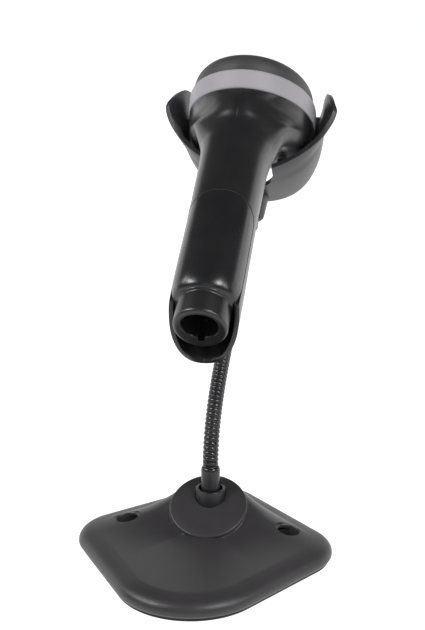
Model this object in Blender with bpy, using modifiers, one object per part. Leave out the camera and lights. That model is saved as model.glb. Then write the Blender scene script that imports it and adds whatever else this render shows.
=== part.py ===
"""Handheld barcode scanner resting nose-down in the cup of a gooseneck desk stand.

Metres, +Z up. The origin lies on the underside of the stand's base. +X is to the right, and the
scanner's handle points towards -Y. The scanner and the cup are modelled in the scanner's own
frame (y towards the nose, z towards the top cover) and placed by one empty.
"""

import math

import bmesh
import bpy
from mathutils import Matrix, Vector

MM = 0.001
GAP = 0.3 * MM

# Stand base
BASE_HALF_WIDTH = 63.5 * MM
BASE_FRONT = 73.5 * MM
BASE_BACK = 60.0 * MM
BASE_SIDE_Y = -2.0 * MM
BASE_CORNER_RADIUS = 24.0 * MM
BASE_WALL = 2.4 * MM
PAD_THICKNESS = 1.2 * MM
PLATE_THICKNESS = 1.5 * MM
WEIGHT_THICKNESS = 4.6 * MM
FACET_CENTRE = Vector((0.0, 9.2, 19.8)) * MM
FACET_STEP = 2.0 * MM
FACET_RADIUS = 19.3 * MM
FACET_TILT = math.radians(28.0)
DESK_HOLE = Vector((39.3, 5.5)) * MM
DESK_HOLE_RADIUS = 5.4 * MM
DESK_BORE_RADIUS = 2.6 * MM

# Gooseneck
NECK_Y = 15.6 * MM
COLLAR_RADIUS = 7.6 * MM
COLLAR_TOP = 26.6 * MM
COLLAR_BOTTOM = 15.5 * MM
FERRULE_RADIUS = 4.8 * MM
NECK_START_Z = 38.5 * MM
NECK_RADIUS = 3.9 * MM
NECK_LINKS = 9
NECK_LINK_GAP = 1.2 * MM
NECK_END_SLOPE = math.radians(43.0)
NECK_START_PULL = 45.0 * MM
NECK_END_PULL = 50.0 * MM

# Scanner frame: head centre and nose-down tilt
HEAD_CENTRE = Vector((0.0, 137.0, 200.5)) * MM
HEAD_TILT = math.radians(-33.0)
HANDLE_ANGLE = math.radians(64.0)
HANDLE_END = Vector((0.0, -80.0, -146.9)) * MM
SHELL_WALL = 2.2 * MM
WAIST_HALF_WIDTH = 17.3 * MM
BAND_HALF_HEIGHT = 5.5 * MM
BAND_PROUD = 0.7 * MM
TOP_HEIGHT = 12.6 * MM
TONGUE_TOP = 66.0 * MM
TONGUE_SLOPE = 0.55
TONGUE_EDGE = 3.0 * MM
MOUTH_AT_AXIS = 9.1 * MM
MOUTH_SLOPE = 0.64
BOSS_RADIUS = 13.2 * MM
BOSS_END = -2.8 * MM
SOCKET_WIDTH = 17.6 * MM
SOCKET_HEIGHT = 15.6 * MM

# Trigger, in handle coordinates: distance along the handle, distance in front of its axis
TRIGGER_PIVOT = Vector((121.0, 8.5)) * MM
TRIGGER_HALF_WIDTH = 5.8 * MM

# Cup
CUP_WALL = 2.6 * MM
CUP_BOSS_Y = 40.0 * MM
CUP_FLOOR = -38.0 * MM
SLOT_HALF_WIDTH = 14.5 * MM
SLOT_END_Y = 27.0 * MM

BLACK_PLASTIC = (0.020, 0.020, 0.022, 1.0)
MATTE_PLASTIC = (0.032, 0.032, 0.035, 1.0)
GREY_RUBBER = (0.36, 0.35, 0.37, 1.0)
BLACK_METAL = (0.030, 0.030, 0.033, 1.0)
STEEL = (0.45, 0.45, 0.46, 1.0)
BRASS = (0.72, 0.56, 0.28, 1.0)
RUBBER = (0.015, 0.015, 0.016, 1.0)
CIRCUIT_GREEN = (0.02, 0.16, 0.07, 1.0)
DARK_RED_PANE = (0.10, 0.008, 0.010, 1.0)
LENS_GLASS = (0.10, 0.12, 0.16, 1.0)
LED_WHITE = (0.85, 0.85, 0.80, 1.0)
CHIP_BLACK = (0.012, 0.012, 0.013, 1.0)

HALF_TURN = math.pi
FULL_TURN = 2.0 * math.pi
X_AXIS = Vector((1.0, 0.0, 0.0))


# ---------------------------------------------------------------- scene and helpers

for old in list(bpy.data.objects):
    bpy.data.objects.remove(old, do_unlink=True)

parts = bpy.data.collections.new("barcode_scanner_on_stand")
cutters = bpy.data.collections.new("cutters")
bpy.context.scene.collection.children.link(parts)
bpy.context.scene.collection.children.link(cutters)


def material(name, colour, roughness, metallic=0.0):
    made = bpy.data.materials.new(name)
    made.use_nodes = True
    shader = made.node_tree.nodes["Principled BSDF"]
    shader.inputs["Base Color"].default_value = colour
    shader.inputs["Roughness"].default_value = roughness
    shader.inputs["Metallic"].default_value = metallic
    return made


def frame_empty(name, location, tilt, parent=None):
    """An empty that turns by tilt about X, to hold the pieces of one frame."""
    empty = bpy.data.objects.new(name, None)
    empty.location = location
    empty.rotation_euler = (tilt, 0.0, 0.0)
    empty.parent = parent
    parts.objects.link(empty)
    return empty


def add_mesh_object(name, mesh, finish=None, parent=None):
    """finish is (colour, roughness, metallic); a piece without one is a cutter."""
    made = bpy.data.objects.new(name, mesh)
    made.parent = parent
    if finish is None:
        cutters.objects.link(made)
        made.hide_render = True
        made.display_type = "WIRE"
    else:
        mesh.materials.append(material(name + "_finish", *finish))
        parts.objects.link(made)
    mesh.shade_smooth()
    mesh.set_sharp_from_angle(angle=math.radians(35.0))
    return made


def finish_bmesh(name, bm, finish, parent):
    bmesh.ops.recalc_face_normals(bm, faces=bm.faces)
    mesh = bpy.data.meshes.new(name)
    bm.to_mesh(mesh)
    bm.free()
    return add_mesh_object(name, mesh, finish, parent)


def loft(name, rings, finish=None, parent=None, cap_start=True, cap_end=True, closed=True):
    """A skin over rings of equally many points; each ring is closed unless closed is False."""
    bm = bmesh.new()
    rows = [[bm.verts.new(point) for point in ring] for ring in rings]
    count = len(rows[0])
    last = count if closed else count - 1
    for lower, upper in zip(rows, rows[1:]):
        for k in range(last):
            after = (k + 1) % count
            bm.faces.new((lower[k], lower[after], upper[after], upper[k]))
    if cap_start and closed:
        bm.faces.new(list(reversed(rows[0])))
    if cap_end and closed:
        bm.faces.new(rows[-1])
    return finish_bmesh(name, bm, finish, parent)


def prism(name, outline, low, high, axis, finish=None, parent=None):
    """A flat outline pushed along X (outline in y, z) or along Z (outline in x, y)."""
    def place(point, height):
        if axis == "X":
            return Vector((height, point[0], point[1]))
        return Vector((point[0], point[1], height))
    rings = [[place(point, low) for point in outline], [place(point, high) for point in outline]]
    return loft(name, rings, finish, parent)


def box(name, low, high, finish=None, parent=None, bevel=0.0):
    low, high = Vector(low), Vector(high)
    bm = bmesh.new()
    size = high - low
    matrix = Matrix.Translation((low + high) / 2) @ Matrix.Diagonal((*size, 1.0))
    bmesh.ops.create_cube(bm, size=1.0, matrix=matrix)
    made = finish_bmesh(name, bm, finish, parent)
    if bevel:
        rounded = made.modifiers.new("rounded_edges", "BEVEL")
        rounded.width = bevel
        rounded.segments = 2
    return made


def aligned(start, direction):
    """A matrix that puts a local +Z shape at start, pointing along direction."""
    turn = Vector((0.0, 0.0, 1.0)).rotation_difference(direction).to_matrix().to_4x4()
    return Matrix.Translation(start) @ turn


def cylinder(name, start, end, radius, finish=None, parent=None, sides=24, end_radius=None):
    start, end = Vector(start), Vector(end)
    length = (end - start).length
    bm = bmesh.new()
    matrix = aligned(start, end - start) @ Matrix.Translation((0.0, 0.0, length / 2))
    second = radius if end_radius is None else end_radius
    bmesh.ops.create_cone(bm, cap_ends=True, segments=sides, radius1=radius, radius2=second,
                          depth=length, matrix=matrix)
    return finish_bmesh(name, bm, finish, parent)


def turned(name, profile, finish=None, parent=None, matrix=None, sides=28):
    """A profile of (radius, height) points, outer side from top to bottom, turned about Z."""
    bm = bmesh.new()
    points = [bm.verts.new((radius, 0.0, height)) for radius, height in profile]
    for first, second in zip(points, points[1:]):
        bm.edges.new((first, second))
    if profile[0][0] > 0.0:
        bm.edges.new((points[-1], points[0]))
    mesh = bpy.data.meshes.new(name)
    bm.to_mesh(mesh)
    bm.free()
    made = add_mesh_object(name, mesh, finish, parent)
    if matrix is not None:
        made.matrix_local = matrix
    screw = made.modifiers.new("turn", "SCREW")
    screw.steps = sides
    screw.render_steps = sides
    screw.use_merge_vertices = True
    screw.merge_threshold = 0.00001
    return made


def tube(name, points, radius, finish=None, parent=None, resolution=2):
    """A solid rod along the points, closed at both ends."""
    curve = bpy.data.curves.new(name + "_path", "CURVE")
    curve.dimensions = "3D"
    spline = curve.splines.new("POLY")
    spline.points.add(len(points) - 1)
    for slot, point in zip(spline.points, points):
        slot.co = (*point, 1.0)
    curve.bevel_depth = radius
    curve.bevel_resolution = resolution
    curve.use_fill_caps = True
    rod = bpy.data.objects.new(name + "_path", curve)
    cutters.objects.link(rod)
    evaluated = rod.evaluated_get(bpy.context.evaluated_depsgraph_get())
    mesh = bpy.data.meshes.new_from_object(evaluated)
    bpy.data.objects.remove(rod, do_unlink=True)
    bpy.data.curves.remove(curve)
    bm = bmesh.new()
    bm.from_mesh(mesh)
    bmesh.ops.remove_doubles(bm, verts=bm.verts, dist=0.000001)
    return finish_bmesh(name, bm, finish, parent)


def boolean(target, tool, operation):
    change = target.modifiers.new(operation.lower() + "_" + tool.name, "BOOLEAN")
    change.operation = operation
    change.object = tool
    change.solver = "EXACT"


def cut(target, *tools):
    for tool in tools:
        boolean(target, tool, "DIFFERENCE")


def join(target, *tools):
    for tool in tools:
        boolean(target, tool, "UNION")


def solidify(target, thickness, offset):
    wall = target.modifiers.new("wall", "SOLIDIFY")
    wall.thickness = thickness
    wall.offset = offset


def arc(centre, radius, start, end, steps):
    """Points of a round stretch, from one angle to another, in degrees."""
    angles = [math.radians(start + (end - start) * k / steps) for k in range(steps + 1)]
    return [(centre[0] + radius * math.cos(a), centre[1] + radius * math.sin(a)) for a in angles]


def signed_power(value, exponent):
    return math.copysign(abs(value) ** exponent, value)


# ---------------------------------------------------------------- stand base

def base_outline(inset, corner_steps=6, side_steps=4):
    """The base seen from above: a kite with round corners, drawn anticlockwise."""
    corners = [Vector((BASE_HALF_WIDTH - BASE_CORNER_RADIUS, BASE_SIDE_Y)),
               Vector((0.0, BASE_BACK - BASE_CORNER_RADIUS)),
               Vector((BASE_CORNER_RADIUS - BASE_HALF_WIDTH, BASE_SIDE_Y)),
               Vector((0.0, BASE_CORNER_RADIUS - BASE_FRONT))]
    radius = BASE_CORNER_RADIUS - inset
    points = []
    for k, corner in enumerate(corners):
        before, after = corners[k - 1], corners[(k + 1) % 4]
        arrive, leave = corner - before, after - corner
        start = math.atan2(-arrive.x, arrive.y)
        turn = (math.atan2(-leave.x, leave.y) - start) % FULL_TURN
        for j in range(corner_steps + 1):
            angle = start + turn * j / corner_steps
            points.append(corner + radius * Vector((math.cos(angle), math.sin(angle))))
        out = radius * Vector((leave.y, -leave.x)).normalized()
        for j in range(1, side_steps):
            points.append(corner + leave * j / side_steps + out)
    return points


def facet_point(direction, radius, drop=0.0):
    """The point of the tilted round facet that lies towards a direction seen from above."""
    across = Vector((direction.x, direction.y / math.cos(FACET_TILT))).normalized() * radius
    along = across.y
    return FACET_CENTRE + Vector((across.x, along * math.cos(FACET_TILT),
                                  along * math.sin(FACET_TILT) - drop))


def base_cover_rings():
    """From the lower edge, over the rounded rim and up the hill to the tilted facet."""
    rim = [(0.8, 1.8), (0.1, 3.0), (0.0, 4.6), (0.6, 6.8), (2.0, 8.6), (4.2, 9.8), (7.0, 10.4)]
    rings = []
    for inset, height in rim:
        rings.append([Vector((p.x, p.y, height * MM)) for p in base_outline(inset * MM)])
    shoulder = rings[-1]
    centre = FACET_CENTRE.xy
    feet = [facet_point(p.xy - centre, FACET_RADIUS + 0.5 * MM, FACET_STEP) for p in shoulder]
    for foot in feet:
        foot.z = max(foot.z, shoulder[0].z)
    for share in (0.25, 0.5, 0.72, 0.88, 1.0):
        rise = share ** 1.25
        rings.append([Vector((*a.xy.lerp(b.xy, share), a.z + (b.z - a.z) * rise))
                      for a, b in zip(shoulder, feet)])
    rings.append([facet_point(p.xy - centre, FACET_RADIUS) for p in shoulder])
    return rings


def build_base():
    cover = loft("base_cover", base_cover_rings(), (MATTE_PLASTIC, 0.62, 0.0), cap_start=False)
    solidify(cover, BASE_WALL, -1.0)
    for side, x in (("left", -DESK_HOLE.x), ("right", DESK_HOLE.x)):
        spot = Vector((x, DESK_HOLE.y, 0.0))
        up = Vector((0.0, 0.0, 1.0))
        join(cover, cylinder(f"desk_post_{side}", spot + 3.0 * MM * up, spot + 11.5 * MM * up,
                             DESK_HOLE_RADIUS + 1.8 * MM))
        cut(cover, cylinder(f"desk_recess_{side}", spot + 5.5 * MM * up, spot + 30.0 * MM * up,
                            DESK_HOLE_RADIUS),
            cylinder(f"desk_bore_{side}", spot - 1.0 * MM * up, spot + 9.0 * MM * up,
                     DESK_BORE_RADIUS))
    neck = Vector((0.0, NECK_Y, 0.0))
    cut(cover, cylinder("collar_hole", neck + Vector((0, 0, 10 * MM)),
                        neck + Vector((0, 0, 50 * MM)), COLLAR_RADIUS + GAP))

    prism("base_pad", base_outline(1.6 * MM), 0.0, PAD_THICKNESS, "Z", (RUBBER, 0.85, 0.0))
    plate_low = PAD_THICKNESS + GAP
    plate = prism("base_plate", base_outline(3.4 * MM), plate_low,
                  plate_low + PLATE_THICKNESS - GAP, "Z", (STEEL, 0.45, 0.9))
    weight_low = plate_low + PLATE_THICKNESS
    weight = prism("base_weight", base_outline(9.0 * MM), weight_low,
                   weight_low + WEIGHT_THICKNESS - GAP, "Z", (STEEL, 0.5, 0.9))
    for side, x in (("left", -DESK_HOLE.x), ("right", DESK_HOLE.x)):
        spot = Vector((x, DESK_HOLE.y, -1.0 * MM))
        cut(plate, cylinder(f"plate_hole_{side}", spot, spot + Vector((0, 0, 9 * MM)),
                            DESK_BORE_RADIUS + GAP))
        cut(weight, cylinder(f"weight_hole_{side}", spot, spot + Vector((0, 0, 30 * MM)),
                             DESK_HOLE_RADIUS + 1.8 * MM + GAP))
    cut(weight, cylinder("weight_neck_hole", neck, neck + Vector((0, 0, 30 * MM)), 12.0 * MM))


def build_neck_seat():
    """The collar on the base, the ferrule that stands in it and the nut below."""
    bottom, top = COLLAR_BOTTOM, COLLAR_TOP
    bore = FERRULE_RADIUS + GAP
    mouth = FERRULE_RADIUS + 1.5 * MM
    profile = [(mouth, top), (COLLAR_RADIUS - 0.4 * MM, top), (COLLAR_RADIUS, top - 0.4 * MM),
               (COLLAR_RADIUS, bottom), (bore, bottom), (bore, top - 3.5 * MM),
               (mouth, top - 3.5 * MM)]
    seat = Matrix.Translation((0.0, NECK_Y, 0.0))
    turned("neck_collar", profile, (BLACK_METAL, 0.30, 0.6), matrix=seat)
    radius = FERRULE_RADIUS
    top = NECK_START_Z - GAP
    turned("lower_ferrule", [(0.0, top), (radius - 0.5 * MM, top), (radius, top - 0.5 * MM),
                             (radius, 10.0 * MM), (0.0, 10.0 * MM)],
           (BLACK_METAL, 0.32, 0.7), matrix=seat)
    nut = cylinder("neck_lock_nut", (0, NECK_Y, 10.2 * MM), (0, NECK_Y, 14.5 * MM), 9.0 * MM,
                   (STEEL, 0.35, 0.95), sides=6)
    cut(nut, cylinder("nut_bore", (0, NECK_Y, 5 * MM), (0, NECK_Y, 20 * MM), bore))


# ---------------------------------------------------------------- gooseneck

def scanner_to_world(point):
    return HEAD_CENTRE + Matrix.Rotation(HEAD_TILT, 3, "X") @ Vector(point)


def neck_curve():
    """Start, two guides and end of the gooseneck's middle line, a cubic curve."""
    along = Vector((0.0, math.cos(NECK_END_SLOPE), math.sin(NECK_END_SLOPE)))
    boss_top = scanner_to_world((0.0, CUP_BOSS_Y, CUP_FLOOR))
    start = Vector((0.0, NECK_Y, NECK_START_Z))
    end = boss_top - along * 22.0 * MM
    return (start, start + Vector((0.0, 0.0, NECK_START_PULL)), end - along * NECK_END_PULL,
            end, along)


def neck_path(count):
    """Evenly spaced (point, direction) pairs along the gooseneck."""
    start, first, second, end, _ = neck_curve()

    def at(t):
        u = 1.0 - t
        return u ** 3 * start + 3 * u * u * t * first + 3 * u * t * t * second + t ** 3 * end

    def slope(t):
        u = 1.0 - t
        return (3 * u * u * (first - start) + 6 * u * t * (second - first)
                + 3 * t * t * (end - second)).normalized()
    fine = 400
    marks = [at(k / fine) for k in range(fine + 1)]
    lengths = [0.0]
    for before, after in zip(marks, marks[1:]):
        lengths.append(lengths[-1] + (after - before).length)
    found = []
    k = 0
    for j in range(count):
        target = lengths[-1] * j / (count - 1)
        while k < fine - 1 and lengths[k + 1] < target:
            k += 1
        share = (target - lengths[k]) / (lengths[k + 1] - lengths[k])
        t = (k + share) / fine
        found.append((at(t), slope(t)))
    return found


def build_gooseneck():
    """Short lengths of flexible tube, each bending on the next at the middle of the gap."""
    pieces = 4
    path = neck_path(NECK_LINKS * pieces + 1)
    half_gap = NECK_LINK_GAP / 2
    for k in range(NECK_LINKS):
        stretch = [point for point, _ in path[k * pieces:(k + 1) * pieces + 1]]
        if k > 0:
            stretch[0] = stretch[0] + path[k * pieces][1] * half_gap
        if k < NECK_LINKS - 1:
            stretch[-1] = stretch[-1] - path[(k + 1) * pieces][1] * half_gap
        tube(f"neck_link_{k + 1}", stretch, NECK_RADIUS, (BLACK_METAL, 0.35, 0.6), resolution=3)
    _, _, _, end, along = neck_curve()
    radius = 5.4 * MM
    tip = 15.5 * MM
    turned("upper_ferrule", [(0.0, tip), (radius - 0.6 * MM, tip), (radius, tip - 0.6 * MM),
                             (radius, 0.6 * MM + GAP), (radius - 0.6 * MM, GAP), (0.0, GAP)],
           (BLACK_METAL, 0.32, 0.7), matrix=aligned(end, along))


# ---------------------------------------------------------------- scanner shell

def handle_to_head(front, height, x=0.0):
    """A point given in handle coordinates, in the scanner's frame."""
    up = Vector((0.0, math.cos(HANDLE_ANGLE), math.sin(HANDLE_ANGLE)))
    ahead = Vector((0.0, math.sin(HANDLE_ANGLE), -math.cos(HANDLE_ANGLE)))
    return HANDLE_END + up * height + ahead * front + X_AXIS * x


# Handle sections: height along the handle, half width, reach to the back and to the front
HANDLE_SECTIONS = [(-10.0, 16.2, 15.4, 22.6), (4.0, 16.8, 16.4, 21.0), (22.0, 17.2, 17.0, 18.6),
                   (48.0, 17.1, 17.0, 17.0), (76.0, 17.1, 17.0, 16.8), (104.0, 17.5, 17.2, 16.8),
                   (122.0, 19.6, 17.5, 17.5)]
# Head sections: rear y, z, front y, z, half width, in the scanner's frame
HEAD_SECTIONS = [(-41.2, -23.6, -5.4, -32.0, 23.0), (-39.2, -19.2, 6.0, -25.6, 25.8),
                 (-37.6, -15.6, 22.0, -24.0, 28.4), (-36.4, -12.6, 34.0, -23.0, 30.4),
                 (-35.5, -10.2, 40.6, -19.6, 32.0), (-34.8, -8.0, 42.4, -13.0, 33.4),
                 (-34.3, -5.8, 43.0, -5.8, 34.2)]


def body_sections():
    """(rear, front, half width, widest point, rear and front squareness, back's waist)."""
    sections = []
    for height, half_width, back, front in HANDLE_SECTIONS:
        sections.append((handle_to_head(-back * MM, height * MM),
                         handle_to_head(front * MM, height * MM), half_width * MM, 0.5, 2.3, 2.4, 1.0))
    last = len(HEAD_SECTIONS) - 1
    for k, (rear_y, rear_z, front_y, front_z, half_width) in enumerate(HEAD_SECTIONS):
        share = k / last
        sections.append((Vector((0.0, rear_y, rear_z)) * MM, Vector((0.0, front_y, front_z)) * MM,
                         half_width * MM, 0.5 + 0.1 * share, 2.3 - 0.3 * share,
                         2.4 + 0.6 * share, 1.0 - share ** 2))
    return sections


def section_ring(rear, front, half_width, widest, rear_power, front_power, waist=0.0,
                 inset=0.0, count=32):
    """One closed outline across the body, rounder at the back and squarer at the front.

    The waist, from 0 to 1, keeps the outline's back as narrow as the handle. The inset only
    narrows the sides: rear and front are already moved in.
    """
    middle = rear.lerp(front, widest)
    ring = []
    for k in range(count):
        angle = FULL_TURN * k / count
        ahead, aside = math.sin(angle), math.cos(angle)
        power = front_power if ahead >= 0.0 else rear_power
        reach = front - middle if ahead >= 0.0 else middle - rear
        spread = min(max((ahead + 0.97) / 0.85, 0.0), 1.0)
        spread = spread * spread * (3.0 - 2.0 * spread)
        narrow = waist * (1.0 - spread) * max(half_width - WAIST_HALF_WIDTH, 0.0)
        ring.append(middle + reach * signed_power(ahead, 2.0 / power)
                    + X_AXIS * (half_width - narrow - inset) * signed_power(aside, 2.0 / power))
    return ring


def shifted(points, distance):
    """A profile line in the middle plane, moved sideways by distance."""
    moved = []
    for k, point in enumerate(points):
        run = points[min(k + 1, len(points) - 1)] - points[max(k - 1, 0)]
        side = Vector((0.0, run.z, -run.y)).normalized()
        moved.append(point + side * distance)
    return moved


def body_rings(inset, overshoot=0.0):
    """The body's skin, or the same skin moved inwards by inset and run past its ends."""
    sections = body_sections()
    rears = shifted([section[0] for section in sections], inset)
    fronts = shifted([section[1] for section in sections], -inset)
    if overshoot:
        down = handle_to_head(0.0, -overshoot) - HANDLE_END
        rears[0], fronts[0] = rears[0] + down, fronts[0] + down
        rise = Vector((0.0, 0.0, overshoot))
        rears[-1], fronts[-1] = rears[-1] + rise, fronts[-1] + rise
    return [section_ring(rear, front, *section[2:], inset)
            for rear, front, section in zip(rears, fronts, sections)]


def head_outline(inset, height):
    """The head seen from above, moved inwards by inset."""
    rear, front, half_width, widest, rear_power, front_power, _ = body_sections()[-1]
    rear = Vector((0.0, rear.y + inset, height))
    front = Vector((0.0, front.y - inset, height))
    return section_ring(rear, front, half_width - inset, widest, rear_power, front_power)


def oblique(offset, slope, back, front):
    """Two points of an oblique plane's trace, in handle coordinates (front, height)."""
    return [(-back, offset + slope * back), (front, offset - slope * front)]


def shell_cutters(scanner, handle):
    """Everything that is taken out of the body's skin, as named cutters."""
    mouth = oblique(MOUTH_AT_AXIS, MOUTH_SLOPE, 40 * MM, 40 * MM)
    mouth_cut = prism("mouth_cut", mouth + [(40 * MM, -90 * MM), (-40 * MM, -90 * MM)],
                      -40 * MM, 40 * MM, "X", parent=handle)
    return {"inside": loft("body_inside", body_rings(SHELL_WALL, 4 * MM), parent=scanner),
            "mouth": mouth_cut,
            "window": box("window_cut", (-21.4 * MM, 30 * MM, -19.3 * MM),
                          (21.4 * MM, 50 * MM, -7.1 * MM), parent=scanner, bevel=1.8 * MM),
            "trigger": box("trigger_slot", (-6.3 * MM, 9 * MM, 88.0 * MM),
                           (6.3 * MM, 30 * MM, 126.0 * MM), parent=handle)}


def tongue_outline(inset):
    """The grip cover's side outline in handle coordinates: an arch over the handle's back."""
    edge = -TONGUE_EDGE - inset
    far = -30.0 * MM
    high = TONGUE_TOP - inset
    corner = 5.0 * MM
    low = -30.0 * MM
    return [(far, high - TONGUE_SLOPE * far), (edge - corner, high + TONGUE_SLOPE * corner),
            (edge - 0.3 * corner, high - 0.12 * corner), (edge, high - corner), (edge, low),
            (far, low)]


SCREW_SPOTS = [(-7.0, 34.0), (-4.0, 78.0), (-8.0, 128.0)]


def build_body(scanner, handle):
    """Two halves that meet at the middle seam, and the grip cover let into their back."""
    tools = shell_cutters(scanner, handle)
    tongue_cut = prism("tongue_cut", tongue_outline(0.0), -30 * MM, 30 * MM, "X", parent=handle)
    black = (BLACK_PLASTIC, 0.34, 0.0)
    posts = {}
    for k, (front, height) in enumerate(SCREW_SPOTS):
        spot = Vector((0.0, front * MM, height * MM))
        for side, sign in (("left", -1.0), ("right", 1.0)):
            reach = 15.6 * MM
            posts[f"{side}_{k}"] = cylinder(f"screw_post_{side}_{k}", spot + X_AXIS * sign * 0.2 * MM,
                                            spot + X_AXIS * sign * reach, 3.0 * MM,
                                            parent=handle, sides=12)
    pivot = Vector((0.0, TRIGGER_PIVOT.y, TRIGGER_PIVOT.x))
    seam = GAP / 2
    lows = {"left": (-seam, -130 * MM, -200 * MM), "right": (-80 * MM, -130 * MM, -200 * MM)}
    highs = {"left": (80 * MM, 90 * MM, 90 * MM), "right": (seam, 90 * MM, 90 * MM)}
    for side, sign in (("left", -1.0), ("right", 1.0)):
        half = loft(f"body_{side}", body_rings(0.0), black, scanner)
        cut(half, tools["inside"], box(f"seam_{side}", lows[side], highs[side], parent=scanner))
        bores = []
        for k, (front, height) in enumerate(SCREW_SPOTS):
            join(half, posts[f"{side}_{k}"])
            spot = Vector((0.0, front * MM, height * MM))
            bores.append(cylinder(f"screw_bore_{side}_{k}", spot - X_AXIS * 1.0 * MM * sign,
                                  spot + X_AXIS * sign * 11.0 * MM, 1.3 * MM, parent=handle,
                                  sides=12))
        pin_post = cylinder(f"pin_post_{side}", pivot + X_AXIS * sign * 6.6 * MM,
                            pivot + X_AXIS * sign * 18.0 * MM, 3.4 * MM, parent=handle, sides=16)
        join(half, pin_post)
        bores.append(cylinder(f"pin_bore_{side}", pivot, pivot + X_AXIS * sign * 11.0 * MM,
                              1.5 * MM + GAP, parent=handle, sides=16))
        cut(half, *bores, tools["mouth"], tongue_cut, tools["window"], tools["trigger"])

    grip = loft("grip_cover", body_rings(0.0), (BLACK_PLASTIC, 0.38, 0.0), scanner)
    cut(grip, tools["inside"], tools["mouth"])
    boolean(grip, prism("tongue_keep", tongue_outline(GAP), -30 * MM, 30 * MM, "X",
                        parent=handle), "INTERSECT")
    for k, (front, height) in enumerate(SCREW_SPOTS):
        spot = Vector((0.0, front * MM, height * MM))
        cylinder(f"body_screw_{k + 1}", spot - X_AXIS * 0.5 * MM, spot + X_AXIS * 10.5 * MM,
                 1.0 * MM, (STEEL, 0.3, 1.0), handle, sides=12)


def build_head(scanner):
    """The grey bumper band round the head and the domed cover above it."""
    half = BAND_HALF_HEIGHT
    bulge = [(0.1 * MM, -half), (-BAND_PROUD, -half + 1.0 * MM), (-BAND_PROUD, half - 1.0 * MM),
             (0.1 * MM, half)]
    band = loft("bumper_band", [head_outline(inset, z) for inset, z in bulge],
                (GREY_RUBBER, 0.6, 0.0), scanner, cap_start=False, cap_end=False)
    solidify(band, 2.4 * MM, -1.0)
    start = half + GAP
    dome = [(0.9, 0.0), (1.3, 0.36), (2.6, 0.63), (5.4, 0.84), (10.0, 0.95), (16.0, 1.0)]
    cover = loft("top_cover", [head_outline(inset * MM, start + share * TOP_HEIGHT)
                               for inset, share in dome],
                 (MATTE_PLASTIC, 0.6, 0.0), scanner, cap_start=False)
    solidify(cover, 2.0 * MM, -1.0)
    cut(cover, box("status_slot", (-6.3 * MM, 19.7 * MM, 8 * MM), (6.3 * MM, 23.3 * MM, 22 * MM),
                   parent=scanner))
    box("status_lens", (-6.0 * MM, 20.0 * MM, start + TOP_HEIGHT - 2.4 * MM), (6.0 * MM, 23.0 * MM,
                                                                start + TOP_HEIGHT - 0.4 * MM),
        (LED_WHITE, 0.2, 0.0), scanner, bevel=0.4 * MM)


def build_window(scanner):
    frame = box("window_bezel", (-21.2 * MM, 36.6 * MM, -18.9 * MM), (21.2 * MM, 39.4 * MM,
                                                                     -7.5 * MM),
                (CHIP_BLACK, 0.25, 0.0), scanner, bevel=1.2 * MM)
    cut(frame, box("bezel_hole", (-19.2 * MM, 30 * MM, -17.2 * MM), (19.2 * MM, 50 * MM,
                                                                     -9.2 * MM), parent=scanner),
        box("bezel_rebate", (-20.2 * MM, 30 * MM, -18.0 * MM), (20.2 * MM, 38.2 * MM,
                                                                -8.4 * MM), parent=scanner))
    box("scan_window", (-19.9 * MM, 36.7 * MM, -17.7 * MM), (19.9 * MM, 37.9 * MM, -8.7 * MM),
        (DARK_RED_PANE, 0.05, 0.0), scanner)


def build_socket(handle):
    """The round boss at the handle's end that holds the cable socket."""
    stem = 22.0 * MM
    profile = [(BOSS_RADIUS + 1.0 * MM, stem), (BOSS_RADIUS + 1.0 * MM, 11.0 * MM),
               (BOSS_RADIUS, 10.2 * MM), (BOSS_RADIUS, BOSS_END + 1.6 * MM),
               (BOSS_RADIUS - 0.5 * MM, BOSS_END + 0.5 * MM),
               (BOSS_RADIUS - 1.6 * MM, BOSS_END), (0.0, BOSS_END)]
    boss = turned("socket_housing", [(0.0, stem)] + profile, (BLACK_PLASTIC, 0.3, 0.0), handle,
                  sides=32)
    sections = [section_ring(Vector((0.0, -14.0 * MM, z)), Vector((0.0, 14.6 * MM, z)),
                             14.2 * MM, 0.5, 2.3, 2.4, count=24) for z in (stem - 1 * MM, stem + 3 * MM)]
    join(boss, loft("socket_flange", sections, parent=handle))
    for k, angle in enumerate((50.0, 90.0, 130.0)):
        turn = math.radians(angle)
        rib = box(f"boss_rib_{k}", (10 * MM, -0.6 * MM, 7 * MM), (15.4 * MM, 0.6 * MM, 21.5 * MM),
                  parent=handle)
        rib.rotation_euler = (0.0, 0.0, turn)
        join(boss, rib)
    mouth = [section_ring(Vector((0.0, -2 * MM - SOCKET_HEIGHT / 2, z)),
                          Vector((0.0, -2 * MM + SOCKET_HEIGHT / 2, z)), SOCKET_WIDTH / 2, 0.5,
                          2.2, 2.2, count=24) for z in (-5 * MM, 30 * MM)]
    key = box("socket_key", (-1.6 * MM, 3 * MM, -5 * MM), (1.6 * MM, 8.2 * MM, 9 * MM),
              parent=handle)
    cut(boss, loft("socket_bore", mouth, parent=handle), key)

    jack = box("cable_socket", (-6.0 * MM, -7.0 * MM, 9.0 * MM), (6.0 * MM, 3.4 * MM, 27.0 * MM),
               (CHIP_BLACK, 0.4, 0.0), handle)
    cut(jack, box("jack_mouth", (-4.9 * MM, -6.0 * MM, 5 * MM), (4.9 * MM, 1.2 * MM, 21 * MM),
                  parent=handle),
        box("jack_latch_way", (-2.2 * MM, 1.0 * MM, 5 * MM), (2.2 * MM, 2.4 * MM, 18 * MM),
            parent=handle))
    contacts = box("socket_contacts", (-4.2 * MM, -5.6 * MM, 19.2 * MM), (4.2 * MM, -4.8 * MM,
                                                                        20.6 * MM),
                   (BRASS, 0.25, 1.0), handle)
    for k in range(9):
        x = (k - 4) * 0.9 * MM
        join(contacts, box(f"contact_{k}", (x - 0.22 * MM, -5.4 * MM, 12 * MM),
                           (x + 0.22 * MM, -5.0 * MM, 20.0 * MM), parent=handle))


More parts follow.
